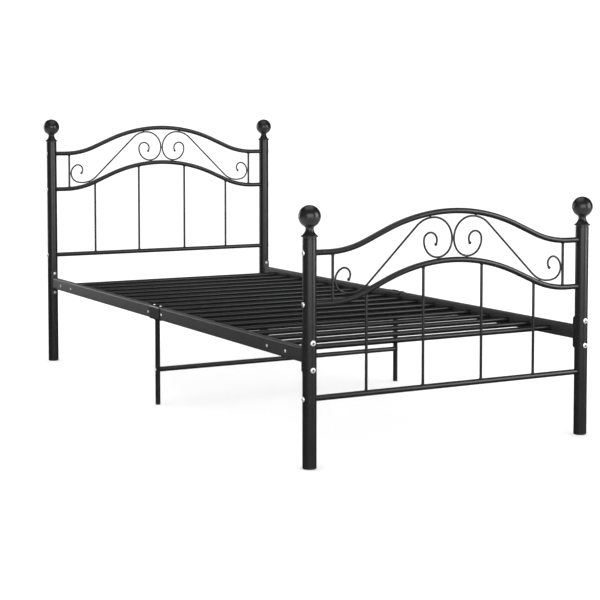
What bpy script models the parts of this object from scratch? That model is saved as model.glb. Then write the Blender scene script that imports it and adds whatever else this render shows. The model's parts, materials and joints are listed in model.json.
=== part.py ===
"""Single metal bed frame: black tubular head and foot panels with scrollwork, on ball-topped posts.

Metres, +Z up. The origin is on the floor under the middle of the bed. The headboard is at +Y,
the footboard at -Y, and "left" is -X. Every piece is one closed solid, set clear of its neighbours.
"""
import math

import bmesh
import bpy
from mathutils import Matrix, Vector

# Overall sizes
OVERALL_WIDTH = 0.970
OVERALL_LENGTH = 2.090
HEAD_HEIGHT = 0.925
FOOT_HEIGHT = 0.700
GAP = 0.0003

# Posts and finials
POST_D = 0.038
POST_EDGE_CHAMFER = 0.0012
BALL_D = 0.060
NECK_D = 0.0220
NECK_BELOW_TOP = 0.0635
RIM_D = 0.0466
RIM_BELOW_TOP = 0.0805
RIM_THICKNESS = 0.0035
FINIAL_HEIGHT = 0.0880
TURNED_STEPS = 20

# Head and foot panels: heights are rail centre lines where they meet the posts
HEAD_BOTTOM_RAIL_Z = 0.407
FOOT_BOTTOM_RAIL_Z = 0.1865
BOTTOM_TO_ARCH = 0.2510
PANEL_RAIL_D = 0.016
WIRE_D = 0.0058
SPINDLE_D = 0.008
ARCH_TO_TOP = PANEL_RAIL_D + WIRE_D + 0.1145
ARCH_RISE = 0.098
CROWN_RADIUS = 0.545
SHOULDER_RADIUS = 0.291
SLOPE = math.radians(23.5)
CROWN_STEPS = 9
SHOULDER_STEPS = 6
SPINDLE_X = (-0.280, -0.0975, 0.0975, 0.280)
UPRIGHT_X = SPINDLE_D / 2 + WIRE_D + 0.3748

# Scroll of bent wire: (radius, turn) of each arc, from the small end to the large one
SCROLL_START_X = WIRE_D / 2 + 0.3361
SCROLL_START_Z = (PANEL_RAIL_D + WIRE_D) / 2 + 0.0462
SCROLL_HEADING = math.radians(146.5)
SMALL_ARCS = ((0.0191, 173.1), (0.0342, 137.7), (0.0797, 59.7))
DIAGONAL = 0.2152
LARGE_ARCS = ((0.0802, 47.8), (0.0599, 108.0), (0.0459, 162.8), (0.02135, 221.6))
DEGREES_PER_STEP = 17.0

# Side rails, their brackets and the slats
RAIL_HEIGHT = 0.040
RAIL_WIDTH = 0.020
RAIL_WALL = 0.0018
RAIL_CORNER = 0.003
RAIL_Z = 0.3005
BRACKET_HEIGHT = 0.094
BRACKET_WIDTH = 0.025
BRACKET_CORNER = 0.008
BRACKET_PLATE = 0.0035
TONGUE_SHEET = 0.004
TONGUE_REACH = 0.2215
SLAT_D = 0.016
SLAT_COUNT = 18
SLAT_END_SPACE = 0.1090
SLAT_SLEEVE_SPACE = 0.0040

# Centre support
SLEEVE_LENGTH = 0.080
SLEEVE_SHEET = 0.0022
LEG_D = 0.016
CROSSBAR_D = 0.016
CROSSBAR_Z = 0.115

POST_X = (OVERALL_WIDTH - BALL_D) / 2
POST_Y = (OVERALL_LENGTH - BALL_D) / 2
ARCH_REACH = POST_X - POST_D / 2 - GAP
PLATE_INNER = POST_D / 2 + GAP
PLATE_OUTER = PLATE_INNER + BRACKET_PLATE
SIDES = (("left", -1), ("right", 1))
ENDS = (("head", 1), ("foot", -1))


def clear_scene():
    """Remove whatever the startup file holds."""
    for obj in list(bpy.data.objects):
        bpy.data.objects.remove(obj, do_unlink=True)


def new_collection(name):
    """Make a collection in the scene."""
    collection = bpy.data.collections.new(name)
    bpy.context.scene.collection.children.link(collection)
    return collection


def painted(name, shade, roughness):
    """A black paint as a Principled material."""
    material = bpy.data.materials.new(name)
    material.use_nodes = True
    surface = material.node_tree.nodes["Principled BSDF"]
    surface.inputs["Base Color"].default_value = (shade, shade, shade, 1.0)
    surface.inputs["Metallic"].default_value = 0.0
    surface.inputs["Roughness"].default_value = roughness
    return material


def place(name, data, material):
    """Wrap data as a named object of the bed, with its material."""
    data.materials.append(material)
    obj = bpy.data.objects.new(name, data)
    PARTS.objects.link(obj)
    return obj


def tube(name, points, diameter, material, resolution=2):
    """A round bar along a line of points, with filled ends."""
    curve = bpy.data.curves.new(name, "CURVE")
    curve.dimensions = "3D"
    curve.bevel_depth = diameter / 2
    curve.bevel_resolution = resolution
    curve.use_fill_caps = True
    spline = curve.splines.new("POLY")
    spline.points.add(len(points) - 1)
    for spot, point in zip(spline.points, points):
        spot.co = (*point, 1.0)
    return place(name, curve, material)


def turned(name, profile, at, material):
    """A solid of revolution about +Z from (radius, height) pairs listed top to bottom."""
    mesh = bpy.data.meshes.new(name)
    spots = [(radius, 0.0, height) for radius, height in profile]
    links = [(i, i + 1) for i in range(len(spots) - 1)]
    mesh.from_pydata(spots, links, [])
    obj = place(name, mesh, material)
    obj.location = at
    screw = obj.modifiers.new("Turn", "SCREW")
    screw.steps = TURNED_STEPS
    screw.render_steps = TURNED_STEPS
    screw.use_merge_vertices = True
    screw.merge_threshold = 0.00005
    screw.use_smooth_shade = True
    return obj


def arc(centre, radius, start, turn, steps):
    """Points along an arc in a plane, first and last included."""
    angles = [start + turn * i / steps for i in range(steps + 1)]
    return [(centre[0] + radius * math.cos(a), centre[1] + radius * math.sin(a)) for a in angles]


def rounded_rectangle(width, height, corner, steps=2):
    """Outline of a rectangle with round corners, anticlockwise."""
    x = width / 2 - corner
    y = height / 2 - corner
    outline = []
    for turn, centre in enumerate(((x, y), (-x, y), (-x, -y), (x, -y))):
        outline += arc(centre, corner, turn * math.pi / 2, math.pi / 2, steps)
    return outline


def sheet_mesh(name, outlines, thickness):
    """Mesh of flat closed outlines, the inner ones holes, thickened equally both ways along Z."""
    curve = bpy.data.curves.new(name, "CURVE")
    curve.dimensions = "2D"
    curve.fill_mode = "BOTH"
    curve.extrude = thickness / 2
    for outline in outlines:
        spline = curve.splines.new("POLY")
        spline.points.add(len(outline) - 1)
        for spot, point in zip(spline.points, outline):
            spot.co = (*point, 0.0, 1.0)
        spline.use_cyclic_u = True
    obj = bpy.data.objects.new(name, curve)
    PARTS.objects.link(obj)
    mesh = bpy.data.meshes.new_from_object(obj)
    bpy.data.objects.remove(obj, do_unlink=True)
    bpy.data.curves.remove(curve)
    mesh.name = name
    weld = bmesh.new()
    weld.from_mesh(mesh)
    bmesh.ops.remove_doubles(weld, verts=weld.verts, dist=0.00001)
    bmesh.ops.recalc_face_normals(weld, faces=weld.faces)
    weld.to_mesh(mesh)
    weld.free()
    return mesh


def add_solid(obj, shape, matrix):
    """Join a primitive, a unit cube or cylinder moved by a matrix, onto an object."""
    mesh = bpy.data.meshes.new(obj.name + "_joined")
    solid = bmesh.new()
    if shape == "cube":
        bmesh.ops.create_cube(solid, size=1.0, matrix=matrix)
    else:
        bmesh.ops.create_cone(
            solid, cap_ends=True, segments=16, radius1=0.5, radius2=0.5, depth=1.0, matrix=matrix
        )
    solid.to_mesh(mesh)
    solid.free()
    other = bpy.data.objects.new(obj.name + "_joined", mesh)
    other.hide_render = True
    other.display_type = "WIRE"
    TOOLS.objects.link(other)
    join = obj.modifiers.new("Weld", "BOOLEAN")
    join.operation = "UNION"
    join.solver = "EXACT"
    join.object = other


def boxed(centre, size):
    """Matrix that moves a unit primitive to a centre and scales it."""
    return Matrix.Translation(Vector(centre)) @ Matrix.Diagonal((*size, 1.0))


def finial_profile():
    """Ball, neck, flared rim and collar, measured down from the finial's foot-end height."""
    ball = BALL_D / 2
    ball_centre = FINIAL_HEIGHT - ball
    profile = [(0.0, FINIAL_HEIGHT)]
    stop = math.pi - math.asin(NECK_D * 1.08 / BALL_D)
    angles = [math.pi / 8 * i for i in range(1, 5)]
    angles += [math.pi / 2 + (stop - math.pi / 2) * i / 4 for i in range(1, 5)]
    for angle in angles:
        profile.append((ball * math.sin(angle), ball_centre + ball * math.cos(angle)))
    neck = FINIAL_HEIGHT - NECK_BELOW_TOP
    rim = FINIAL_HEIGHT - RIM_BELOW_TOP
    flare = (RIM_D - NECK_D) / 2
    profile.append((NECK_D / 2, neck))
    profile.append((NECK_D / 2 + flare * 0.20, neck + (rim - neck) * 0.45))
    profile.append((NECK_D / 2 + flare * 0.62, neck + (rim - neck) * 0.82))
    profile.append((RIM_D / 2, rim))
    profile.append((RIM_D / 2, rim - RIM_THICKNESS))
    profile.append((POST_D / 2, rim - RIM_THICKNESS - 0.0008))
    profile.append((POST_D / 2, 0.0))
    profile.append((0.0, 0.0))
    return profile


def build_post(end, end_sign, side, side_sign, height):
    """One corner post with its ball finial standing on it."""
    at = (side_sign * POST_X, end_sign * POST_Y, 0.0)
    top = height - FINIAL_HEIGHT
    radius = POST_D / 2
    edge = radius - POST_EDGE_CHAMFER
    profile = [(0.0, top - GAP), (radius, top - GAP), (radius, POST_EDGE_CHAMFER), (edge, 0.0), (0.0, 0.0)]
    turned(f"{end}_post_{side}", profile, at, POST_PAINT)
    turned(f"{end}_finial_{side}", finial_profile(), (at[0], at[1], top), FINIAL_PAINT)


def arch_half():
    """Centre line of half an arched rail, (x, height above its ends), from the crown outwards."""
    bend = 1.0 - math.cos(SLOPE)
    straight_drop = ARCH_RISE - (CROWN_RADIUS + SHOULDER_RADIUS) * bend
    crown = arc((0.0, ARCH_RISE - CROWN_RADIUS), CROWN_RADIUS, math.pi / 2, -SLOPE, CROWN_STEPS)
    shoulder_end = CROWN_RADIUS * math.sin(SLOPE) + straight_drop / math.tan(SLOPE)
    shoulder_end += SHOULDER_RADIUS * math.sin(SLOPE)
    centre = (shoulder_end, SHOULDER_RADIUS)
    shoulder = arc(centre, SHOULDER_RADIUS, -math.pi / 2 - SLOPE, SLOPE, SHOULDER_STEPS)
    return crown + shoulder + [(ARCH_REACH, 0.0)]


def arch_height(x):
    """Height and slope of the arched rail's centre line above its ends at x."""
    half = arch_half()
    for (x0, z0), (x1, z1) in zip(half, half[1:]):
        if x0 <= abs(x) <= x1:
            slope = (z1 - z0) / (x1 - x0)
            return z0 + slope * (abs(x) - x0), abs(slope)
    return 0.0, 0.0


def arched_rail(name, y, z):
    """A rail bent to a flat-shouldered arch, from post to post."""
    half = arch_half()
    line = [(-x, h) for x, h in reversed(half)] + half[1:]
    tube(name, [(x, y, z + h) for x, h in line], PANEL_RAIL_D, PANEL_PAINT)


def clear_of_rail(x, diameter):
    """Vertical distance from an arched rail's centre line to a bar end that stays clear of it."""
    slope = arch_height(x)[1]
    return PANEL_RAIL_D / 2 * math.hypot(1.0, slope) + diameter / 2 * slope + GAP


def scroll_line():
    """Centre line of one scroll, (x, height above the arched rail's ends)."""
    x, z, heading = SCROLL_START_X, SCROLL_START_Z, SCROLL_HEADING
    line = [(x, z)]
    for arcs, way in ((SMALL_ARCS, -1), (LARGE_ARCS, 1)):
        for radius, degrees in arcs:
            centre = (x - way * radius * math.sin(heading), z + way * radius * math.cos(heading))
            start = math.atan2(z - centre[1], x - centre[0])
            steps = max(2, round(degrees / DEGREES_PER_STEP))
            line += arc(centre, radius, start, way * math.radians(degrees), steps)[1:]
            x, z = line[-1]
            heading += way * math.radians(degrees)
        if way == -1:
            x += DIAGONAL * math.cos(heading)
            z += DIAGONAL * math.sin(heading)
            line.append((x, z))
    return line


def build_panel(board, y, bottom_z):
    """Rails, spindles, uprights and scrolls of one end panel."""
    arch_z = bottom_z + BOTTOM_TO_ARCH
    top_z = arch_z + ARCH_TO_TOP
    ends = ((-ARCH_REACH, y, bottom_z), (ARCH_REACH, y, bottom_z))
    tube(f"{board}_bottom_rail", ends, PANEL_RAIL_D, PANEL_PAINT)
    arched_rail(f"{board}_arch_rail", y, arch_z)
    arched_rail(f"{board}_top_rail", y, top_z)
    for number, x in enumerate(SPINDLE_X, start=1):
        foot = (x, y, bottom_z + PANEL_RAIL_D / 2 + GAP)
        head = (x, y, arch_z + arch_height(x)[0] - clear_of_rail(x, SPINDLE_D))
        tube(f"{board}_spindle_{number}", (foot, head), SPINDLE_D, PANEL_PAINT)
    for side, sign in SIDES:
        x = sign * UPRIGHT_X
        clear = clear_of_rail(x, SPINDLE_D)
        foot = (x, y, arch_z + arch_height(x)[0] + clear)
        head = (x, y, top_z + arch_height(x)[0] - clear)
        tube(f"{board}_upright_{side}", (foot, head), SPINDLE_D, PANEL_PAINT)
        line = [(sign * px, y, arch_z + pz) for px, pz in scroll_line()]
        tube(f"{board}_scroll_{side}", line, WIRE_D, PANEL_PAINT, resolution=1)


def build_side_rail(end, end_sign, side, side_sign):
    """One half of a side rail: a rectangular tube from the post bracket to the middle of the bed."""
    outer = rounded_rectangle(RAIL_WIDTH, RAIL_HEIGHT, RAIL_CORNER)
    inside = (RAIL_WIDTH - 2 * RAIL_WALL, RAIL_HEIGHT - 2 * RAIL_WALL)
    inner = rounded_rectangle(*inside, RAIL_CORNER - RAIL_WALL)
    far = POST_Y - PLATE_OUTER - GAP
    length = far - GAP
    name = f"side_rail_{end}_{side}"
    obj = place(name, sheet_mesh(name, (outer, inner), length), RAIL_PAINT)
    obj.matrix_world = Matrix.Translation((side_sign * POST_X, end_sign * (GAP + far) / 2, RAIL_Z))
    obj.matrix_world @= Matrix.Rotation(math.pi / 2, 4, "X")


def build_bracket(end, end_sign, side, side_sign):
    """A flat plate bolted to the post's inner side, with the tongue that slides into the side rail."""
    name = f"rail_bracket_{end}_{side}"
    outline = rounded_rectangle(BRACKET_WIDTH, BRACKET_HEIGHT, BRACKET_CORNER, 5)
    mesh = sheet_mesh(name, (outline,), BRACKET_PLATE)
    mesh.transform(Matrix.Rotation(math.pi / 2, 4, "X"))
    obj = place(name, mesh, RAIL_PAINT)
    root = (PLATE_INNER + PLATE_OUTER) / 2
    obj.location = (side_sign * POST_X, end_sign * (POST_Y - root), RAIL_Z)
    tip = PLATE_OUTER + TONGUE_REACH
    height = RAIL_HEIGHT - 2 * RAIL_WALL - 2 * GAP
    centre = (side_sign * POST_X, end_sign * (POST_Y - (root + tip) / 2), RAIL_Z)
    add_solid(obj, "cube", boxed(centre, (TONGUE_SHEET, tip - root, height)))


def build_slats():
    """Round cross slats between the side rails, evenly spaced from the centre sleeves to the ends."""
    reach = POST_X - RAIL_WIDTH / 2 - GAP
    first = SLEEVE_LENGTH / 2 + SLAT_SLEEVE_SPACE + SLAT_D / 2
    last = POST_Y - PLATE_OUTER - SLAT_END_SPACE
    half = SLAT_COUNT // 2
    places = [first + (last - first) * i / (half - 1) for i in range(half)]
    for number, y in enumerate([-y for y in reversed(places)] + places, start=1):
        ends = ((-reach, y, RAIL_Z), (reach, y, RAIL_Z))
        tube(f"slat_{number:02d}", ends, SLAT_D, SLAT_PAINT)


def build_centre_support():
    """Sleeves over the side-rail joints, each with its leg, and the bar between the legs."""
    inside = (RAIL_WIDTH + 2 * GAP, RAIL_HEIGHT + 2 * GAP)
    inner = rounded_rectangle(*inside, RAIL_CORNER + GAP)
    outside = (inside[0] + 2 * SLEEVE_SHEET, inside[1] + 2 * SLEEVE_SHEET)
    outer = rounded_rectangle(*outside, RAIL_CORNER + GAP + SLEEVE_SHEET)
    leg_top = RAIL_Z - outside[1] / 2 + SLEEVE_SHEET / 2
    for side, sign in SIDES:
        name = f"centre_leg_{side}"
        mesh = sheet_mesh(name, (outer, inner), SLEEVE_LENGTH)
        mesh.transform(Matrix.Rotation(math.pi / 2, 4, "X"))
        obj = place(name, mesh, LEG_PAINT)
        obj.location = (sign * POST_X, 0.0, RAIL_Z)
        add_solid(obj, "cylinder", boxed((sign * POST_X, 0.0, leg_top / 2), (LEG_D, LEG_D, leg_top)))
    reach = POST_X - LEG_D / 2 - GAP
    ends = ((-reach, 0.0, CROSSBAR_Z), (reach, 0.0, CROSSBAR_Z))
    tube("centre_crossbar", ends, CROSSBAR_D, LEG_PAINT)


def smooth_all():
    """Shade the meshes smooth, with their corners left sharp."""
    for obj in PARTS.objects:
        if obj.type == "MESH" and obj.data.polygons:
            obj.data.shade_smooth()
            obj.data.set_sharp_from_angle(angle=math.radians(35))


clear_scene()
PARTS = new_collection("metal_bed_frame")
TOOLS = new_collection("joined_shapes")
TOOLS.hide_render = True
POST_PAINT = painted("post_paint", 0.012, 0.42)
FINIAL_PAINT = painted("finial_paint", 0.008, 0.12)
PANEL_PAINT = painted("panel_paint", 0.012, 0.40)
RAIL_PAINT = painted("rail_paint", 0.014, 0.45)
SLAT_PAINT = painted("slat_paint", 0.014, 0.45)
LEG_PAINT = painted("leg_paint", 0.012, 0.42)

for end, end_sign in ENDS:
    post_height = HEAD_HEIGHT if end == "head" else FOOT_HEIGHT
    for side, side_sign in SIDES:
        build_post(end, end_sign, side, side_sign, post_height)
        build_side_rail(end, end_sign, side, side_sign)
        build_bracket(end, end_sign, side, side_sign)
build_panel("headboard", POST_Y, HEAD_BOTTOM_RAIL_Z)
build_panel("footboard", -POST_Y, FOOT_BOTTOM_RAIL_Z)
build_slats()
build_centre_support()
smooth_all()
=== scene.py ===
"""The looks of the metal bed frame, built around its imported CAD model.

Metres, +Z up, headboard at +Y, "left" is -X. Nothing on the bed moves, so every piece rides on "root".
"""
import json
import math

import bpy
from mathutils import Matrix, Vector, noise

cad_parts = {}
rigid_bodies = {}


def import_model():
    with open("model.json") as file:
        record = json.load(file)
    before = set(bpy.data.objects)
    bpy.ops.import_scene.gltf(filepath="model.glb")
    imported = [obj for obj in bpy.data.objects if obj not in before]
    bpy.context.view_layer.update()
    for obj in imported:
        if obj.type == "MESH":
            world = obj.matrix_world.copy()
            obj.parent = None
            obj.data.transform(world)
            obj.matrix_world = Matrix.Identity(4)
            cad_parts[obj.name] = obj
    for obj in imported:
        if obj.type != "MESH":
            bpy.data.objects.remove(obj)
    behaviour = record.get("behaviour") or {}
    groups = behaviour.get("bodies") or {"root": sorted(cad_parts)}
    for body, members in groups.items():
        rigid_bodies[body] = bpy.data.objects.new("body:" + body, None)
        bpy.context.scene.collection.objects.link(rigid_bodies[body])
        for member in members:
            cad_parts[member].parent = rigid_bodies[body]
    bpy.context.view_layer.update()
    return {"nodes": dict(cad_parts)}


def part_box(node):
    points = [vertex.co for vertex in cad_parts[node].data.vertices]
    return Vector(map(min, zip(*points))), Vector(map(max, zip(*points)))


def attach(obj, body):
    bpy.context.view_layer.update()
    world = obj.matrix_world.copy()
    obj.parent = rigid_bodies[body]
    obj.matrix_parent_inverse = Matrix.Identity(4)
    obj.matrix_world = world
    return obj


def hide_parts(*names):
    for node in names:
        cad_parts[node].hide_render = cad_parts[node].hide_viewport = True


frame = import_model()

SIDES = (("left", -1), ("right", 1))
ENDS = (("head", 1), ("foot", -1))

# Camera: where it stands, where it points, and its lens
CAMERA_AT = (-2.3424, -4.4186, 0.9223)
CAMERA_YAW = math.radians(28.641)
CAMERA_DOWN = math.radians(3.464)
CAMERA_LENS_MM = 89.17
CAMERA_SHIFT_Y = -0.15

# Shape of the panels' bent pieces, as in the CAD model; each scroll arc is (radius, degrees)
ARCH_RISE = 0.098
CROWN_RADIUS = 0.545
SHOULDER_RADIUS = 0.291
SLOPE = math.radians(23.5)
SCROLL_START = (0.3390, 0.0571)
SCROLL_HEADING = math.radians(146.5)
SMALL_ARCS = ((0.0191, 173.1), (0.0342, 137.7), (0.0797, 59.7))
DIAGONAL = 0.2152
LARGE_ARCS = ((0.0802, 47.8), (0.0599, 108.0), (0.0459, 162.8), (0.02135, 221.6))
SPINDLE_X = (-0.280, -0.0975, 0.0975, 0.280)

# Finial, measured down from the top of the ball
NECK_D = 0.0220
NECK_BELOW_TOP = 0.0635
RIM_D = 0.0466
RIM_BELOW_TOP = 0.0805
RIM_THICKNESS = 0.0035

# Plate and leg, as in the CAD model
BRACKET_PLATE = 0.0035
BRACKET_CORNER = 0.008
CONTACT_GAP = 0.0003
LEG_R = 0.008

# Details that only the visual model has; a bar's depth in a rail is a part of the rail's radius
PANEL_INTO_POST = 0.0025
BAR_INTO_RAIL = 0.5
EDGE_EASE = 0.0006
BESIDE_CORNER = 0.0004
BLOB_LENGTH = 0.009
BLOB_SWELL = 1.55
POST_WALL = 0.0016
GLIDE_HEIGHT = 0.0030
RAIL_CORNER = 0.0035
RAIL_WALL = 0.0018
RAIL_INTO_PLATE = 0.0004
SLEEVE_CORNER = 0.0055
SLEEVE_WALL = 0.0022
CROSSBAR_INTO_LEG = 0.003
SLAT_INTO_RAIL = 0.001

# Bolts; a seat is where the underside of a head lies, as a part of the tube's radius
BRACKET_BOLT_SPREAD = 0.036
RAIL_BOLT_Y = (0.898, 0.7895, 0.0535)
RAIL_BOLT_DROP = 0.002
SLEEVE_BOLT_Y = 0.025
NUT_SINK = 0.0002
POST_BOLT_SEAT = 0.985
LEG_BOLT_SEAT = 0.96
BOLT_SIDES = 48
DOME_STEPS = 7

# Welds
WELD_SIZE = 0.0022
WELD_OUT = 0.8
WELD_ALONG = 0.75
WELD_OVERLAP = 0.0004
WELD_LUMPS = 0.28
WELD_NOISE = 300
WELD_SWIRL = 2.2
SPOT_WELD_SIZE = 0.0024
SPOT_WELD_LUMPS = 0.25
SPOT_WELD_NOISE = 400
SPOT_WELD_SWIRL = 1.7
SPOT_WELD_SHAPE = Vector((1.35, 1.0, 1.0))
TOUCH_MARGIN = 0.004

# Paint: the band of noise that is spread over the whole change of colour or sheen, and the blacks
NOISE_LOW = 0.3
NOISE_HIGH = 0.7
PAINT_SPECULAR = 0.30
SATIN_BLACK = ((0.0076, 0.0076, 0.0078), (0.0099, 0.0099, 0.0101))
# The rails' and plates' black is a lighter copy of the same satin black: painted light on their flat faces
RAIL_BLACK_PAINTED_LIGHT = ((0.0128, 0.0128, 0.0130), (0.0160, 0.0160, 0.0162))
# The slats' black is a darker copy of the same satin black: painted shade that deepens the dark lines
# between slats
SLAT_BLACK_PAINTED_SHADE = ((0.0045, 0.0045, 0.0047), (0.0062, 0.0062, 0.0064))
GLOSS_BLACK = ((0.004, 0.004, 0.0045), (0.008, 0.008, 0.009))
PLASTIC_BLACK = ((0.010, 0.010, 0.010), (0.018, 0.018, 0.018))
BRIGHT_ZINC = ((0.80, 0.81, 0.82), (0.92, 0.92, 0.92))
# A darker zinc for the inside of the bolts' hexagon sockets: painted shade in the recess
SOCKET_ZINC_PAINTED_SHADE = ((0.10, 0.10, 0.10), (0.16, 0.16, 0.16))
FLOOR_WHITE = ((0.87, 0.87, 0.87), (0.89, 0.89, 0.89))

# Studio: a floor that is flat out to its radius, then a cove up to a low wall, and the world's light
FLOOR_FLAT = 8.0
FLOOR_RADIUS = 9.0
COVE_RADIUS = 3.0
WALL_TOP = 4.5
FLOOR_SIDES = 128
WORLD_STRENGTH = 1.50


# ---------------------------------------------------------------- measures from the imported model
def middle(node):
    """Centre of a CAD node's box."""
    low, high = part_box(node)
    return Vector([(a + b) / 2 for a, b in zip(low, high)])


def extent(node):
    """Size of a CAD node's box."""
    low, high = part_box(node)
    return Vector([b - a for a, b in zip(low, high)])


POST_X = middle("foot_post_right").x
POST_Y = middle("head_post_right").y
POST_R = extent("foot_post_right").x / 2
BALL_R = extent("foot_finial_right").x / 2
FINIAL_HEIGHT = extent("foot_finial_right").z
PANEL_RAIL_R = extent("headboard_bottom_rail").z / 2
SPINDLE_R = extent("headboard_spindle_1").x / 2
WIRE_R = extent("headboard_scroll_left").y / 2
RAIL_WIDTH = extent("side_rail_head_left").x
RAIL_HEIGHT = extent("side_rail_head_left").z
RAIL_Z = middle("side_rail_head_left").z
SLAT_R = extent("slat_01").z / 2
BRACKET_HEIGHT = extent("rail_bracket_head_left").z
BRACKET_WIDTH = extent("rail_bracket_head_left").x
BRACKET_OUT = POST_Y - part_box("side_rail_head_left")[1][1] - CONTACT_GAP
SLEEVE_WIDTH, SLEEVE_LENGTH = extent("centre_leg_left").xy


# ---------------------------------------------------------------- materials
def new_material(name):
    """A Principled material: its node tree, its surface and object coordinates in metres."""
    material = bpy.data.materials.new(name)
    material.use_nodes = True
    tree = material.node_tree
    coordinates = tree.nodes.new("ShaderNodeTexCoord")
    return material, tree, tree.nodes["Principled BSDF"], coordinates.outputs["Object"]


def noise_node(tree, where, scale, detail, roughness=0.5):
    """A noise texture over object coordinates; its value output."""
    texture = tree.nodes.new("ShaderNodeTexNoise")
    texture.inputs["Scale"].default_value = scale
    texture.inputs["Detail"].default_value = detail
    texture.inputs["Roughness"].default_value = roughness
    tree.links.new(where, texture.inputs["Vector"])
    return texture.outputs["Fac"]


def ramp(tree, value, low, high):
    """Map a noise value to a number between low and high."""
    node = tree.nodes.new("ShaderNodeMapRange")
    node.inputs["From Min"].default_value = NOISE_LOW
    node.inputs["From Max"].default_value = NOISE_HIGH
    node.inputs["To Min"].default_value = low
    node.inputs["To Max"].default_value = high
    tree.links.new(value, node.inputs["Value"])
    return node.outputs["Result"]


def tint(tree, value, shades):
    """Blend a pair of colours by a noise value."""
    node = tree.nodes.new("ShaderNodeValToRGB")
    node.color_ramp.elements[0].position = NOISE_LOW
    node.color_ramp.elements[1].position = NOISE_HIGH
    for element, shade in zip(node.color_ramp.elements, shades):
        element.color = (*shade, 1.0)
    tree.links.new(value, node.inputs["Fac"])
    return node.outputs["Color"]


def bump(tree, surface, height, strength, distance, onto=None):
    """Add a bump to the surface, over another bump if one is given."""
    node = tree.nodes.new("ShaderNodeBump")
    node.inputs["Strength"].default_value = strength
    node.inputs["Distance"].default_value = distance
    tree.links.new(height, node.inputs["Height"])
    if onto is not None:
        tree.links.new(onto, node.inputs["Normal"])
    tree.links.new(node.outputs["Normal"], surface.inputs["Normal"])
    return node.outputs["Normal"]


def powder_coat(name, shades, rough, peel=0.35):
    """Satin black powder coat: fine orange peel, a grain in its sheen, slow changes of shade."""
    material, tree, surface, where = new_material(name)
    slow = noise_node(tree, where, scale=9.0, detail=2.0)
    grain = noise_node(tree, where, scale=1500.0, detail=2.0, roughness=0.6)
    skin = noise_node(tree, where, scale=420.0, detail=2.0, roughness=0.45)
    tree.links.new(tint(tree, slow, shades), surface.inputs["Base Color"])
    sheen = ramp(tree, grain, low=rough - 0.05, high=rough + 0.07)
    tree.links.new(sheen, surface.inputs["Roughness"])
    surface.inputs["Specular IOR Level"].default_value = PAINT_SPECULAR
    orange_peel = bump(tree, surface, skin, strength=peel, distance=0.00012)
    bump(tree, surface, grain, strength=0.25, distance=0.00004, onto=orange_peel)
    return material


def gloss_black(name):
    """Glossy black lacquer of the ball finials, with a faint ripple and specks in its sheen."""
    material, tree, surface, where = new_material(name)
    slow = noise_node(tree, where, scale=30.0, detail=2.0)
    ripple = noise_node(tree, where, scale=160.0, detail=1.0)
    speck = noise_node(tree, where, scale=1800.0, detail=2.0)
    tree.links.new(tint(tree, slow, GLOSS_BLACK), surface.inputs["Base Color"])
    tree.links.new(ramp(tree, speck, low=0.24, high=0.31), surface.inputs["Roughness"])
    surface.inputs["Specular IOR Level"].default_value = PAINT_SPECULAR
    bump(tree, surface, ripple, strength=0.12, distance=0.00015)
    return material


def zinc(name, shades):
    """Zinc of the bolts: metal with a fine scratched grain and a little cloudiness."""
    material, tree, surface, where = new_material(name)
    cloud = noise_node(tree, where, scale=260.0, detail=3.0)
    scratch = noise_node(tree, where, scale=2600.0, detail=2.0)
    tree.links.new(tint(tree, cloud, shades), surface.inputs["Base Color"])
    surface.inputs["Metallic"].default_value = 0.75
    tree.links.new(ramp(tree, cloud, low=0.34, high=0.46), surface.inputs["Roughness"])
    bump(tree, surface, scratch, strength=0.15, distance=0.00003)
    return material


def moulded_plastic(name):
    """Matt black plastic of the glides, with a fine moulded grain."""
    material, tree, surface, where = new_material(name)
    grain = noise_node(tree, where, scale=2200.0, detail=2.0)
    slow = noise_node(tree, where, scale=40.0, detail=2.0)
    tree.links.new(tint(tree, slow, PLASTIC_BLACK), surface.inputs["Base Color"])
    tree.links.new(ramp(tree, grain, low=0.55, high=0.68), surface.inputs["Roughness"])
    bump(tree, surface, grain, strength=0.4, distance=0.00006)
    return material


POST_PAINT = powder_coat("post_powder_coat", SATIN_BLACK, rough=0.27)
PANEL_PAINT = powder_coat("panel_powder_coat", SATIN_BLACK, rough=0.27)
# Rails and bracket plates: the lighter copy of the satin black is painted light
RAIL_COAT_PAINTED_LIGHT = powder_coat("rail_powder_coat_painted_light", RAIL_BLACK_PAINTED_LIGHT, rough=0.40)
# Slats: the darker copy of the satin black is painted shade
SLAT_COAT_PAINTED_SHADE = powder_coat("slat_powder_coat_painted_shade", SLAT_BLACK_PAINTED_SHADE, rough=0.28)
LEG_PAINT = powder_coat("leg_powder_coat", SATIN_BLACK, rough=0.28)
WELD_PAINT = powder_coat("weld_powder_coat", SATIN_BLACK, rough=0.32, peel=0.9)
FINIAL_GLOSS = gloss_black("finial_gloss_black")
ZINC = zinc("bolt_bright_zinc", BRIGHT_ZINC)
# The socket zinc is darker only to paint the shade inside the hexagon recess
SOCKET_PAINTED_SHADE = zinc("bolt_socket_painted_shade", SOCKET_ZINC_PAINTED_SHADE)
PLASTIC = moulded_plastic("glide_black_plastic")


# ---------------------------------------------------------------- making and placing pieces
def keep(piece, slot, *nodes):
    """Set a piece riding on the bed in place of CAD nodes, which it hides. Its slot is not used."""
    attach(piece, "root")
    if nodes:
        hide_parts(*nodes)


def in_scene(name, data):
    """A new object in the scene that shows some data."""
    obj = bpy.data.objects.new(name, data)
    bpy.context.collection.objects.link(obj)
    return obj


def smooth_mesh(name, spots, faces, sharp):
    """A mesh shaded smooth but for corners sharper than an angle in degrees."""
    mesh = bpy.data.meshes.new(name)
    mesh.from_pydata([tuple(spot) for spot in spots], [], faces)
    mesh.validate()
    mesh.shade_smooth()
    mesh.set_sharp_from_angle(angle=math.radians(sharp))
    return mesh


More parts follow.
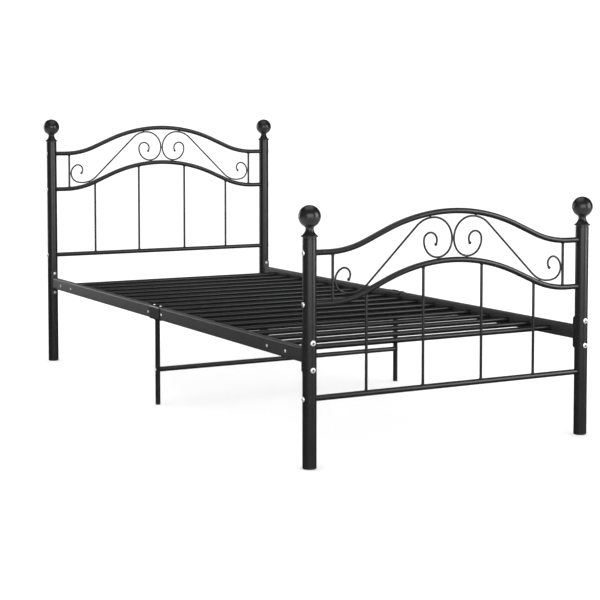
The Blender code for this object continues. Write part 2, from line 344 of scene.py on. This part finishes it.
def mesh_object(name, spots, faces, material, sharp):
    """An object of one material from vertices and faces."""
    mesh = smooth_mesh(name, spots, faces, sharp)
    mesh.materials.append(material)
    return in_scene(name, mesh)


def tube(name, points, radius, material, resolution, swell=None):
    """A round bar along a line of points; swell scales the radius point by point."""
    curve = bpy.data.curves.new(name, "CURVE")
    curve.dimensions = "3D"
    curve.bevel_depth = radius
    curve.bevel_resolution = resolution
    curve.use_fill_caps = True
    spline = curve.splines.new("POLY")
    spline.points.add(len(points) - 1)
    for i, (spot, point) in enumerate(zip(spline.points, points)):
        spot.co = (*point, 1.0)
        spot.radius = swell[i] if swell else 1.0
    spline.use_smooth = True
    curve.materials.append(material)
    return in_scene(name, curve)


def rings_mesh(rings, closed_ends=True):
    """Vertices and faces that join a list of equal closed rings in order."""
    count = len(rings[0])
    spots = [spot for ring in rings for spot in ring]
    faces = []
    for r in range(len(rings) - 1):
        for i in range(count):
            j = (i + 1) % count
            faces.append((r * count + i, r * count + j, (r + 1) * count + j, (r + 1) * count + i))
    if closed_ends:
        faces.append(tuple(reversed(range(count))))
        last = (len(rings) - 1) * count
        faces.append(tuple(range(last, last + count)))
    return spots, faces


def circle(radius, height, count):
    """A level ring of points about +Z."""
    return [
        (radius * math.cos(math.tau * i / count), radius * math.sin(math.tau * i / count), height)
        for i in range(count)
    ]


def turned(name, profile, at, material, sides):
    """A solid of revolution from (radius, height) pairs listed in order along its outline."""
    least = 1e-5
    spots, faces = rings_mesh([circle(max(radius, least), height, sides) for radius, height in profile])
    obj = mesh_object(name, spots, faces, material, sharp=32.0)
    obj.location = at
    return obj


def arc(centre, radius, start, turn, steps):
    """Points along an arc in a plane, first and last included."""
    angles = [start + turn * i / steps for i in range(steps + 1)]
    return [(centre[0] + radius * math.cos(a), centre[1] + radius * math.sin(a)) for a in angles]


def rounded_rectangle(width, height, corner, steps=5):
    """Outline of a rectangle with round corners, anticlockwise.

    A point just beside each end of a corner keeps the smooth shading off the flat sides.
    """
    x = width / 2 - corner
    y = height / 2 - corner
    outline = []
    for turn, centre in enumerate(((x, y), (-x, y), (-x, -y), (x, -y))):
        start = turn * math.pi / 2
        bend = arc(centre, corner, start, math.pi / 2, steps)
        out_x, out_y = round(math.cos(start)), round(math.sin(start))
        outline.append((bend[0][0] + BESIDE_CORNER * out_y, bend[0][1] - BESIDE_CORNER * out_x))
        outline += bend
        outline.append((bend[-1][0] - BESIDE_CORNER * out_x, bend[-1][1] - BESIDE_CORNER * out_y))
    return outline


def box_tube(name, centre, section, length, material):
    """A rectangular tube along Y with open ends; its section is (width, height, corner, wall)."""
    width, height, corner, wall = section
    ease = min(EDGE_EASE, wall / 3)
    end = length / 2
    outer = rounded_rectangle(width, height, corner)
    inner = rounded_rectangle(width - 2 * wall, height - 2 * wall, corner - wall)
    soft = rounded_rectangle(width - 2 * ease, height - 2 * ease, corner - ease)
    rings = []
    for outline, y in (
        (soft, -end), (outer, -end + ease), (outer, end - ease), (soft, end), (inner, end), (inner, -end)
    ):
        rings.append([(x, y, z) for x, z in outline])
    spots, faces = rings_mesh(rings, closed_ends=False)
    count = len(outer)
    last = (len(rings) - 1) * count
    for i in range(count):
        j = (i + 1) % count
        faces.append((last + i, last + j, j, i))
    faces = [tuple(reversed(face)) for face in faces]
    obj = mesh_object(name, spots, faces, material, sharp=30.0)
    obj.location = centre
    return obj


def weld_rings(name, spots_at, material):
    """Lumpy weld beads as one mesh; each is (centre, direction, bar radius, bead size)."""
    spots, faces = [], []
    around, across = 22, 7
    for centre, direction, bar, size in spots_at:
        turn = Vector((0, 0, 1)).rotation_difference(Vector(direction)).to_matrix()
        start = len(spots)
        for i in range(around):
            angle = math.tau * i / around
            out = Vector((math.cos(angle), math.sin(angle), 0))
            lump = WELD_LUMPS * noise.noise(Vector(centre) * WELD_NOISE + out * WELD_SWIRL)
            bead = size * (1.0 + lump)
            for j in range(across):
                bend = math.pi * j / (across - 1)
                reach = bar - WELD_OVERLAP + bead * WELD_OUT * math.sin(bend) ** 0.8
                rise = -bead * WELD_ALONG * math.cos(bend)
                spot = Vector((reach * math.cos(angle), reach * math.sin(angle), rise))
                spots.append(Vector(centre) + turn @ spot)
        for i in range(around):
            for j in range(across):
                a = start + i * across + j
                b = start + i * across + (j + 1) % across
                c = start + ((i + 1) % around) * across + (j + 1) % across
                d = start + ((i + 1) % around) * across + j
                faces.append((a, d, c, b))
    return mesh_object(name, spots, faces, material, sharp=60.0)


# ---------------------------------------------------------------- bolts
def bolt_mesh(name, radius, dome, socket):
    """A flanged dome head about +Z with a hexagon socket, standing on z = 0."""
    flange = radius * 0.16
    dome_foot = flange * 1.15
    dome_radius = radius * 0.80
    outline = [(radius * 0.90, -0.0006), (radius, 0.0002), (radius, flange * 0.7)]
    outline += [(radius * 0.965, flange), (dome_radius, dome_foot)]
    for i in range(1, DOME_STEPS):
        angle = math.pi / 2 * i / DOME_STEPS
        rise = (dome - dome_foot) * math.sin(angle)
        outline.append((dome_radius * math.cos(angle) ** 0.75, dome_foot + rise))
    rings = [circle(out, height, BOLT_SIDES) for out, height in outline]
    hexagon = []
    for x, y, _ in rings[-1]:
        angle = math.atan2(y, x)
        wedge = (angle + math.pi / 6) % (math.pi / 3) - math.pi / 6
        reach = socket / math.cos(wedge)
        hexagon.append((reach * math.cos(angle), reach * math.sin(angle)))
    mouth = outline[-1][1]
    lip = mouth + (dome - mouth) * 0.2
    for scale, height in ((1.10, lip), (1.0, mouth - 0.0002), (0.98, flange * 0.6), (0.10, flange * 0.2)):
        rings.append([(x * scale, y * scale, height) for x, y in hexagon])
    spots, faces = rings_mesh(rings)
    mesh = smooth_mesh(name, spots, faces, sharp=34)
    mesh.materials.append(ZINC)
    mesh.materials.append(SOCKET_PAINTED_SHADE)
    # Faces inside the hexagon socket take the darker zinc: painted shade in the recess
    for face in mesh.polygons:
        if face.center.xy.length < socket * 1.02:
            face.material_index = 1
    return mesh


LARGE_BOLT = bolt_mesh("bolt_large", radius=0.0072, dome=0.0032, socket=0.0031)
MEDIUM_BOLT = bolt_mesh("bolt_medium", radius=0.0070, dome=0.0038, socket=0.0028)
SMALL_BOLT = bolt_mesh("bolt_small", radius=0.0045, dome=0.0025, socket=0.0018)


def bolt(name, mesh, at, direction, slot):
    """Set a bolt head on a surface, facing a direction."""
    obj = in_scene(name, mesh)
    turn = Vector((0, 0, 1)).rotation_difference(Vector(direction)).to_matrix().to_4x4()
    obj.matrix_world = Matrix.Translation(Vector(at)) @ turn
    keep(obj, slot)


# ---------------------------------------------------------------- posts and finials
def smooth_line(points, steps=6):
    """A Catmull-Rom line through (radius, height) points."""
    line = []
    for i in range(len(points) - 1):
        a = Vector(points[max(i - 1, 0)])
        b, c = Vector(points[i]), Vector(points[i + 1])
        d = Vector(points[min(i + 2, len(points) - 1)])
        for k in range(steps):
            t = k / steps
            first = (c - a) * t
            second = (2 * a - 5 * b + 4 * c - d) * t * t
            third = (3 * b - a - 3 * c + d) * t**3
            line.append(tuple(0.5 * (2 * b + first + second + third)))
    line.append(tuple(points[-1]))
    return line


def finial_profile():
    """Collar, flared rim, neck and ball, bottom to top, as (radius, height)."""
    neck = FINIAL_HEIGHT - NECK_BELOW_TOP
    rim = FINIAL_HEIGHT - RIM_BELOW_TOP
    under = rim - RIM_THICKNESS
    edge = RIM_D / 2
    core = POST_R * 0.5
    profile = [(core, -0.0002), (POST_R - EDGE_EASE, -0.0002)]
    profile += [(POST_R - EDGE_EASE, 0.0006), (POST_R, 0.0010)]
    profile += [(POST_R, under - 0.0010), (POST_R + 0.0012, under - 0.0004), (edge - 0.0010, under)]
    profile += [(edge - 0.0002, under + 0.0008), (edge, under + 0.0017), (edge - 0.0002, rim - 0.0008)]
    profile.append((edge - 0.0012, rim))
    waist = NECK_D / 2
    flare = edge - waist
    bell = [(edge - 0.0022, rim + 0.0002), (waist + flare * 0.60, rim + (neck - rim) * 0.14)]
    bell += [(waist + flare * 0.24, rim + (neck - rim) * 0.50), (waist, neck)]
    ball_centre = FINIAL_HEIGHT - BALL_R
    join = math.asin(NECK_D * 1.10 / 2 / BALL_R)
    bell.append((BALL_R * math.sin(join) * 1.02, ball_centre - BALL_R * math.cos(join) - 0.0006))
    profile += smooth_line(bell)
    steps = 40
    for i in range(1, steps + 1):
        angle = join + (math.pi - join) * i / steps
        profile.append((BALL_R * math.sin(angle), ball_centre - BALL_R * math.cos(angle)))
    return profile


def build_post(end, end_sign, side, side_sign):
    """A post tube with its glide and bolts, and the ball finial on top."""
    post = f"{end}_post_{side}"
    finial = f"{end}_finial_{side}"
    centre = middle(post)
    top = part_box(finial)[0][2]
    at = (centre.x, centre.y, 0.0)
    inner = POST_R - POST_WALL
    profile = [(inner, GLIDE_HEIGHT + 0.02), (inner, GLIDE_HEIGHT + 0.0004), (inner + 0.0003, GLIDE_HEIGHT)]
    profile += [(POST_R - 0.0004, GLIDE_HEIGHT), (POST_R, GLIDE_HEIGHT + 0.0004)]
    profile += [(POST_R, top - 0.0010), (POST_R - EDGE_EASE, top - 0.0004)]
    core = POST_R * 0.5
    profile.append((core, top - CONTACT_GAP))
    keep(turned(f"{post}_tube", profile, at, POST_PAINT, sides=72), "post_paint", post)
    lip = POST_R - 0.0007
    glide = [(lip - 0.0022, 0.0), (lip - 0.0008, 0.0003), (lip, 0.0012), (lip, GLIDE_HEIGHT - 0.0002)]
    glide += [(inner, GLIDE_HEIGHT), (inner, GLIDE_HEIGHT + 0.016)]
    keep(turned(f"{post}_glide", glide, at, PLASTIC, sides=64), "post_paint")
    ball_foot = (centre.x, centre.y, top)
    ball = turned(f"{finial}_ball", finial_profile(), ball_foot, FINIAL_GLOSS, sides=72)
    keep(ball, "finial_paint", finial)
    for number, way in enumerate((1, -1), start=1):
        z = RAIL_Z + way * BRACKET_BOLT_SPREAD
        at = (centre.x, centre.y + end_sign * POST_R * POST_BOLT_SEAT, z)
        bolt(f"{post}_bracket_bolt_{number}", LARGE_BOLT, at, (0, end_sign, 0), "post_paint")
    board = f"{end}board"
    for number, rail in enumerate(("bottom", "arch", "top"), start=1):
        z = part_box(f"{board}_{rail}_rail")[0][2] + PANEL_RAIL_R
        at = (centre.x + side_sign * POST_R * POST_BOLT_SEAT, centre.y, z)
        bolt(f"{post}_panel_bolt_{number}", MEDIUM_BOLT, at, (side_sign, 0, 0), "post_paint")


# ---------------------------------------------------------------- head and foot panels
def arch_half():
    """Centre line of half an arched rail, (x, height above its ends), from the crown outwards."""
    crown_steps, shoulder_steps = 26, 16
    bend = 1.0 - math.cos(SLOPE)
    straight_drop = ARCH_RISE - (CROWN_RADIUS + SHOULDER_RADIUS) * bend
    crown = arc((0.0, ARCH_RISE - CROWN_RADIUS), CROWN_RADIUS, math.pi / 2, -SLOPE, crown_steps)
    shoulder_end = CROWN_RADIUS * math.sin(SLOPE) + straight_drop / math.tan(SLOPE)
    shoulder_end += SHOULDER_RADIUS * math.sin(SLOPE)
    centre = (shoulder_end, SHOULDER_RADIUS)
    shoulder = arc(centre, SHOULDER_RADIUS, -math.pi / 2 - SLOPE, SLOPE, shoulder_steps)
    return crown + shoulder + [(POST_X - POST_R + PANEL_INTO_POST, 0.0)]


def arch_height(x):
    """Height and slope of the arched rail's centre line above its ends at x."""
    half = arch_half()
    for (x0, z0), (x1, z1) in zip(half, half[1:]):
        if x0 <= abs(x) <= x1:
            slope = (z1 - z0) / (x1 - x0)
            return z0 + slope * (abs(x) - x0), slope * (1 if x > 0 else -1)
    return 0.0, 0.0


def scroll_line():
    """Centre line of one scroll, (x, height above the arched rail's ends)."""
    degrees_per_step, diagonal_steps = 4.0, 6
    (x, z), heading = SCROLL_START, SCROLL_HEADING
    line = [(x, z)]
    for arcs, way in ((SMALL_ARCS, -1), (LARGE_ARCS, 1)):
        for radius, degrees in arcs:
            centre = (x - way * radius * math.sin(heading), z + way * radius * math.cos(heading))
            start = math.atan2(z - centre[1], x - centre[0])
            steps = max(4, round(degrees / degrees_per_step))
            line += arc(centre, radius, start, way * math.radians(degrees), steps)[1:]
            x, z = line[-1]
            heading += way * math.radians(degrees)
        if way == -1:
            for _ in range(diagonal_steps):
                x += DIAGONAL / diagonal_steps * math.cos(heading)
                z += DIAGONAL / diagonal_steps * math.sin(heading)
                line.append((x, z))
    return line


def with_blobs(line):
    """The line again with extra points at its ends, and the swell that makes the forged blobs."""
    spots = [Vector(point) for point in line]
    lengths = [0.0]
    for a, b in zip(spots, spots[1:]):
        lengths.append(lengths[-1] + (b - a).length)
    total = lengths[-1]

    def at(distance):
        for i in range(len(spots) - 1):
            if distance <= lengths[i + 1]:
                t = (distance - lengths[i]) / (lengths[i + 1] - lengths[i])
                return spots[i].lerp(spots[i + 1], t)
        return spots[-1]

    steps = 14
    clear = BLOB_LENGTH * 1.05
    ball_middle, ball_front, tip_swell, neck_swell = 0.52, 0.34, 0.12, 0.12
    stops = [BLOB_LENGTH * i / steps for i in range(steps + 1)]
    stops += [d for d in lengths if clear < d < total - clear]
    stops += [total - BLOB_LENGTH * i / steps for i in range(steps, -1, -1)]
    swell = []
    for distance in stops:
        near = min(distance, total - distance) / BLOB_LENGTH
        if near >= 1.0:
            swell.append(1.0)
            continue
        ball = math.sqrt(max(0.0, 1.0 - (near / ball_middle - 1.0) ** 2)) * BLOB_SWELL
        neck = 1.0 + neck_swell * math.cos(math.pi * near) ** 2 * (1.0 - near)
        swell.append(max(ball, tip_swell) if near < ball_front else max(ball, neck))
    return [at(distance) for distance in stops], swell


def build_panel(end, y):
    """Rails, spindles, uprights and scrolls of one end panel, and their welds."""
    board = f"{end}board"
    reach = POST_X - POST_R + PANEL_INTO_POST
    bottom_z = middle(f"{board}_bottom_rail").z
    arch_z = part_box(f"{board}_arch_rail")[0][2] + PANEL_RAIL_R
    top_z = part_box(f"{board}_top_rail")[0][2] + PANEL_RAIL_R
    line = [(-reach, y, bottom_z), (reach, y, bottom_z)]
    straight = tube(f"{board}_bottom_tube", line, PANEL_RAIL_R, PANEL_PAINT, resolution=8)
    keep(straight, "panel_paint", f"{board}_bottom_rail")
    half = arch_half()
    for rail, z in (("arch", arch_z), ("top", top_z)):
        line = [(-x, y, z + h) for x, h in reversed(half)] + [(x, y, z + h) for x, h in half[1:]]
        bent = tube(f"{board}_{rail}_tube", line, PANEL_RAIL_R, PANEL_PAINT, resolution=8)
        keep(bent, "panel_paint", f"{board}_{rail}_rail")
    welds = []
    down, up = (0, 0, -1), (0, 0, 1)
    depth = PANEL_RAIL_R * BAR_INTO_RAIL
    for number, x in enumerate(SPINDLE_X, start=1):
        height, slope = arch_height(x)
        ends = [(x, y, bottom_z + depth), (x, y, arch_z + height - depth)]
        bar = tube(f"{board}_spindle_{number}_bar", ends, SPINDLE_R, PANEL_PAINT, resolution=6)
        keep(bar, "panel_paint", f"{board}_spindle_{number}")
        lean = Vector((slope, 0, -1)).normalized()
        surface = arch_z + height - PANEL_RAIL_R * math.hypot(1, slope)
        welds.append(((x, y, surface), lean, SPINDLE_R, WELD_SIZE))
        welds.append(((x, y, bottom_z + PANEL_RAIL_R), up, SPINDLE_R, WELD_SIZE))
    for side, sign in SIDES:
        x = middle(f"{board}_upright_{side}").x
        height, slope = arch_height(x)
        low_end, high_end = arch_z + height + PANEL_RAIL_R, top_z + height - PANEL_RAIL_R
        ends = [(x, y, arch_z + height + depth), (x, y, top_z + height - depth)]
        bar = tube(f"{board}_upright_{side}_bar", ends, SPINDLE_R, PANEL_PAINT, resolution=6)
        keep(bar, "panel_paint", f"{board}_upright_{side}")
        welds.append(((x, y, low_end), up, SPINDLE_R, WELD_SIZE))
        welds.append(((x, y, high_end), down, SPINDLE_R, WELD_SIZE))
        flat, swell = with_blobs([(sign * px, arch_z + pz) for px, pz in scroll_line()])
        line = [(p.x, y, p.y) for p in flat]
        wire = tube(f"{board}_scroll_{side}_wire", line, WIRE_R, PANEL_PAINT, resolution=5, swell=swell)
        keep(wire, "panel_paint", f"{board}_scroll_{side}")
    keep(weld_rings(f"{board}_welds", welds, WELD_PAINT), "panel_paint")
    build_scroll_welds(board, y, arch_z, top_z)


def closest(p, rail):
    """How far a point is from a rail's centre line, and the spot on the rail's surface towards it."""
    gap, spot = 1.0, None
    for a, b in zip(rail, rail[1:]):
        t = max(0.0, min(1.0, (p - a).dot(b - a) / (b - a).length_squared))
        q = a.lerp(b, t)
        if (p - q).length < gap:
            gap = (p - q).length
            spot = q.lerp(p, PANEL_RAIL_R / gap)
    return gap, spot


def touching_spots(line, rail_z):
    """Where a scroll touches an arched rail: at most one spot on its inner part and one on its outer."""
    outer_part = 0.2
    rail = [Vector((x, height + rail_z)) for x, height in arch_half()]
    best = {}
    for p in line:
        gap, spot = closest(p, rail)
        key = p.x > outer_part
        if key not in best or gap < best[key][0]:
            best[key] = (gap, spot)
    return [spot for gap, spot in best.values() if gap < PANEL_RAIL_R + WIRE_R + TOUCH_MARGIN]


def build_scroll_welds(board, y, arch_z, top_z):
    """Small weld spots where the scrolls touch the rails, the uprights and each other."""
    line = [Vector((px, arch_z + pz)) for px, pz in scroll_line()]
    spots = touching_spots(line, arch_z) + touching_spots(line, top_z)
    outer = max(line, key=lambda p: p.x)
    spots.append(Vector((outer.x + WIRE_R, outer.y)))
    both = [Vector((sign * p.x, p.y)) for p in spots for sign in (1, -1)]
    centre = min(line, key=lambda p: p.x)
    both.append(Vector((0.0, centre.y)))
    verts, faces = [], []
    around, rows = 14, 8
    for p in both:
        at = Vector((p.x, y, p.y))
        start = len(verts)
        for r in range(rows + 1):
            phi = math.pi * r / rows
            for i in range(around):
                theta = math.tau * i / around
                out = math.sin(phi)
                way = Vector((out * math.cos(theta), math.cos(phi), out * math.sin(theta)))
                lump = SPOT_WELD_LUMPS * noise.noise(at * SPOT_WELD_NOISE + way * SPOT_WELD_SWIRL)
                size = SPOT_WELD_SIZE * (1.0 + lump)
                verts.append(at + Vector([w * s * size for w, s in zip(way, SPOT_WELD_SHAPE)]))
        for r in range(rows):
            row = start + r * around
            for i in range(around):
                j = (i + 1) % around
                faces.append((row + i, row + j, row + around + j, row + around + i))
    beads = mesh_object(f"{board}_scroll_welds", verts, faces, WELD_PAINT, sharp=60.0)
    keep(beads, "panel_paint")


# ---------------------------------------------------------------- side rails, brackets and slats
def build_side_rail(end, end_sign, side, side_sign):
    """One half of a side rail, run into its bracket, with its bolts."""
    node = f"side_rail_{end}_{side}"
    low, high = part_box(node)
    far = POST_Y - BRACKET_OUT + RAIL_INTO_PLATE
    near = min(abs(low[1]), abs(high[1]))
    centre = (middle(node).x, end_sign * (near + far) / 2, RAIL_Z)
    section = (RAIL_WIDTH, RAIL_HEIGHT, RAIL_CORNER, RAIL_WALL)
    rail = box_tube(f"{node}_tube", centre, section, far - near, RAIL_COAT_PAINTED_LIGHT)
    keep(rail, "rail_paint", node)
    x = centre[0] + side_sign * RAIL_WIDTH / 2
    for number, y in enumerate(RAIL_BOLT_Y, start=1):
        at = (x, end_sign * y, RAIL_Z - RAIL_BOLT_DROP)
        bolt(f"{node}_bolt_{number}", SMALL_BOLT, at, (side_sign, 0, 0), "rail_paint")


def build_bracket(end, end_sign, side, side_sign):
    """A flat plate with round corners and softened edges against the post, with its bolt ends."""
    node = f"rail_bracket_{end}_{side}"
    ease = EDGE_EASE
    inner = BRACKET_OUT - BRACKET_PLATE
    x, y = side_sign * POST_X, end_sign * POST_Y
    edges = [(inner, ease), (inner + ease, 0.0), (BRACKET_OUT - ease, 0.0)]
    edges += [(BRACKET_OUT - ease * 0.3, ease * 0.3), (BRACKET_OUT, ease), (BRACKET_OUT, 2 * ease)]
    rings = []
    for out, inset in edges:
        width, height = BRACKET_WIDTH - 2 * inset, BRACKET_HEIGHT - 2 * inset
        outline = rounded_rectangle(width, height, BRACKET_CORNER - inset, steps=10)
        rings.append([(end_sign * across, -end_sign * out, up) for across, up in outline])
    spots, faces = rings_mesh(rings)
    plate = mesh_object(f"{node}_plate", spots, faces, RAIL_COAT_PAINTED_LIGHT, sharp=30.0)
    plate.location = (x, y, RAIL_Z)
    keep(plate, "rail_paint", node)
    for number, way in enumerate((1, -1), start=1):
        at = (x, y - end_sign * (BRACKET_OUT - NUT_SINK), RAIL_Z + way * BRACKET_BOLT_SPREAD)
        bolt(f"{node}_nut_{number}", SMALL_BOLT, at, (0, -end_sign, 0), "rail_paint")


def build_slats():
    """Slats run to the side rails, each with a weld bead at its ends."""
    inner_face = POST_X - RAIL_WIDTH / 2
    names = sorted(name for name in frame["nodes"] if name.startswith("slat_"))
    welds = []
    for name in names:
        y, z = middle(name).yz
        ends = [(-inner_face - SLAT_INTO_RAIL, y, z), (inner_face + SLAT_INTO_RAIL, y, z)]
        keep(tube(f"{name}_tube", ends, SLAT_R, SLAT_COAT_PAINTED_SHADE, resolution=7), "slat_paint", name)
        for sign in (-1, 1):
            welds.append(((sign * inner_face, y, z), (-sign, 0, 0), SLAT_R, WELD_SIZE))
    keep(weld_rings("slat_welds", welds, WELD_PAINT), "slat_paint")


# ---------------------------------------------------------------- centre support
def build_centre_leg(side, sign):
    """Sleeve over the side-rail joint with its welded leg, its glide and its bolts."""
    node = f"centre_leg_{side}"
    x = sign * POST_X
    sleeve_height = 2 * (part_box(node)[1][2] - RAIL_Z)
    centre = (x, 0.0, RAIL_Z)
    section = (SLEEVE_WIDTH, sleeve_height, SLEEVE_CORNER, SLEEVE_WALL)
    sleeve = box_tube(f"{node}_sleeve", centre, section, SLEEVE_LENGTH, LEG_PAINT)
    keep(sleeve, "leg_paint", node)
    under = RAIL_Z - sleeve_height / 2
    profile = [(LEG_R - 0.0012, 0.004), (LEG_R - 0.0010, GLIDE_HEIGHT), (LEG_R - 0.0003, GLIDE_HEIGHT)]
    profile += [(LEG_R, GLIDE_HEIGHT + 0.0004), (LEG_R, under - 0.0032), (LEG_R + 0.0005, under - 0.0018)]
    profile += [(LEG_R + 0.0018, under - 0.0006), (LEG_R + 0.0026, under + 0.0003)]
    keep(turned(f"{node}_tube", profile, (x, 0.0, 0.0), LEG_PAINT, sides=48), "leg_paint")
    glide = [(LEG_R - 0.0016, 0.0), (LEG_R - 0.0007, 0.0004), (LEG_R - 0.0004, 0.0012)]
    glide += [(LEG_R - 0.0004, GLIDE_HEIGHT), (LEG_R - 0.0012, GLIDE_HEIGHT + 0.004)]
    keep(turned(f"{node}_glide", glide, (x, 0.0, 0.0), PLASTIC, sides=40), "leg_paint")
    for number, way in enumerate((1, -1), start=1):
        at = (x, way * SLEEVE_BOLT_Y, RAIL_Z + sleeve_height / 2)
        bolt(f"{node}_top_bolt_{number}", SMALL_BOLT, at, (0, 0, 1), "leg_paint")
    at = (x + sign * LEG_R * LEG_BOLT_SEAT, 0.0, middle("centre_crossbar").z)
    bolt(f"{node}_crossbar_bolt", SMALL_BOLT, at, (sign, 0, 0), "leg_paint")


def build_crossbar():
    """The bar between the centre legs, run a little way into each."""
    node = "centre_crossbar"
    reach = POST_X - LEG_R + CROSSBAR_INTO_LEG
    z = middle(node).z
    ends = [(-reach, 0, z), (reach, 0, z)]
    bar = tube(f"{node}_bar", ends, extent(node).z / 2, LEG_PAINT, resolution=7)
    keep(bar, "leg_paint", node)


for end, end_sign in ENDS:
    for side, side_sign in SIDES:
        build_post(end, end_sign, side, side_sign)
        build_side_rail(end, end_sign, side, side_sign)
        build_bracket(end, end_sign, side, side_sign)
    build_panel(end, end_sign * POST_Y)
build_slats()
for side, side_sign in SIDES:
    build_centre_leg(side, side_sign)
build_crossbar()


# ---------------------------------------------------------------- studio
def build_floor():
    """A wide pale round floor that curves up far away all round; reflections leave it out."""
    material, tree, surface, where = new_material("studio_floor")
    slow = noise_node(tree, where, scale=1.2, detail=2.0)
    tree.links.new(tint(tree, slow, FLOOR_WHITE), surface.inputs["Base Color"])
    surface.inputs["Roughness"].default_value = 0.9
    surface.inputs["Specular IOR Level"].default_value = 0.1
    cove = arc((0.0, COVE_RADIUS), COVE_RADIUS, -math.pi / 2, math.pi / 2, steps=24)
    outline = [(0.0001, 0.0), (FLOOR_FLAT, 0.0)]
    outline += [(FLOOR_RADIUS + out, height) for out, height in cove]
    outline.append((FLOOR_RADIUS + COVE_RADIUS, WALL_TOP))
    rings = [circle(radius, height, FLOOR_SIDES) for radius, height in outline]
    spots, faces = rings_mesh(rings, closed_ends=False)
    ground = mesh_object("studio_floor", spots, faces, material, sharp=80.0)
    ground.visible_glossy = False


def softbox(name, turn, distance, height, size, radiance, toward=0.4):
    """A rectangular area light aimed at the bed's middle line, "toward" metres up.

    Its turn is in degrees about the bed, to the right of the camera's side.
    """
    light = bpy.data.lights.new(name, "AREA")
    light.shape = "RECTANGLE"
    light.size, light.size_y = size
    light.energy = radiance * math.pi * size[0] * size[1]
    angle = math.radians(turn) - CAMERA_YAW
    at = Vector((distance * math.sin(angle), -distance * math.cos(angle), height))
    obj = in_scene(name, light)
    obj.location = at
    obj.rotation_euler = (Vector((0.0, 0.0, toward)) - at).to_track_quat("-Z", "Y").to_euler()
    obj.visible_camera = False
    return obj


def build_light():
    """Even pale surroundings, softboxes for the bed, a rim for its rails and a bounce for its balls."""
    world = bpy.data.worlds.new("studio")
    world.use_nodes = True
    background = world.node_tree.nodes["Background"]
    background.inputs["Color"].default_value = (1.0, 1.0, 1.0, 1.0)
    background.inputs["Strength"].default_value = WORLD_STRENGTH
    bpy.context.scene.world = world
    world.cycles_visibility.glossy = False
    bpy.context.scene.view_settings.view_transform = "Standard"
    boxes = [
        softbox("softbox_right", 68.0, distance=4.4, height=1.30, size=(2.4, 2.5), radiance=7.8),
        softbox("softbox_front", 8.0, distance=4.8, height=1.30, size=(4.8, 2.4), radiance=5.2),
        softbox("softbox_behind", -128.0, distance=4.6, height=1.15, size=(2.6, 2.2), radiance=3.4),
        softbox("softbox_above", 0.0, distance=0.01, height=3.6, size=(3.0, 3.6), radiance=1.6, toward=0.0),
    ]
    rim = softbox("softbox_rim", 180.0, distance=6.5, height=1.3, size=(4.0, 1.2), radiance=0.9, toward=1.0)
    bounce = softbox(
        "softbox_bounce", 0.0, distance=0.01, height=0.02, size=(9.0, 9.0), radiance=1.3, toward=3.0
    )
    bed = bpy.data.collections.new("softbox_lit_bed")
    balls = bpy.data.collections.new("bounce_lit_finials")
    rails = bpy.data.collections.new("rim_lit_rails")
    for obj in bpy.context.scene.objects:
        if obj.type in {"MESH", "CURVE"} and obj.name != "studio_floor":
            bed.objects.link(obj)
            if obj.name.startswith("side_rail_") and obj.name.endswith("_tube"):
                rails.objects.link(obj)
            if "_finial_" in obj.name:
                balls.objects.link(obj)
    for box in boxes:
        box.light_linking.receiver_collection = bed
    rim.light_linking.receiver_collection = rails
    bounce.light_linking.receiver_collection = balls


def build_camera():
    """The camera at the bed's foot end, off its left corner, level but for a slight tilt down."""
    camera = bpy.data.cameras.new("camera")
    camera.lens = CAMERA_LENS_MM
    camera.shift_y = CAMERA_SHIFT_Y
    camera.clip_end = 100.0
    obj = in_scene("camera", camera)
    obj.location = CAMERA_AT
    obj.rotation_euler = (math.pi / 2 - CAMERA_DOWN, 0.0, -CAMERA_YAW)
    bpy.context.scene.camera = obj


build_floor()
build_light()
build_camera()

bpy.context.view_layer.update()
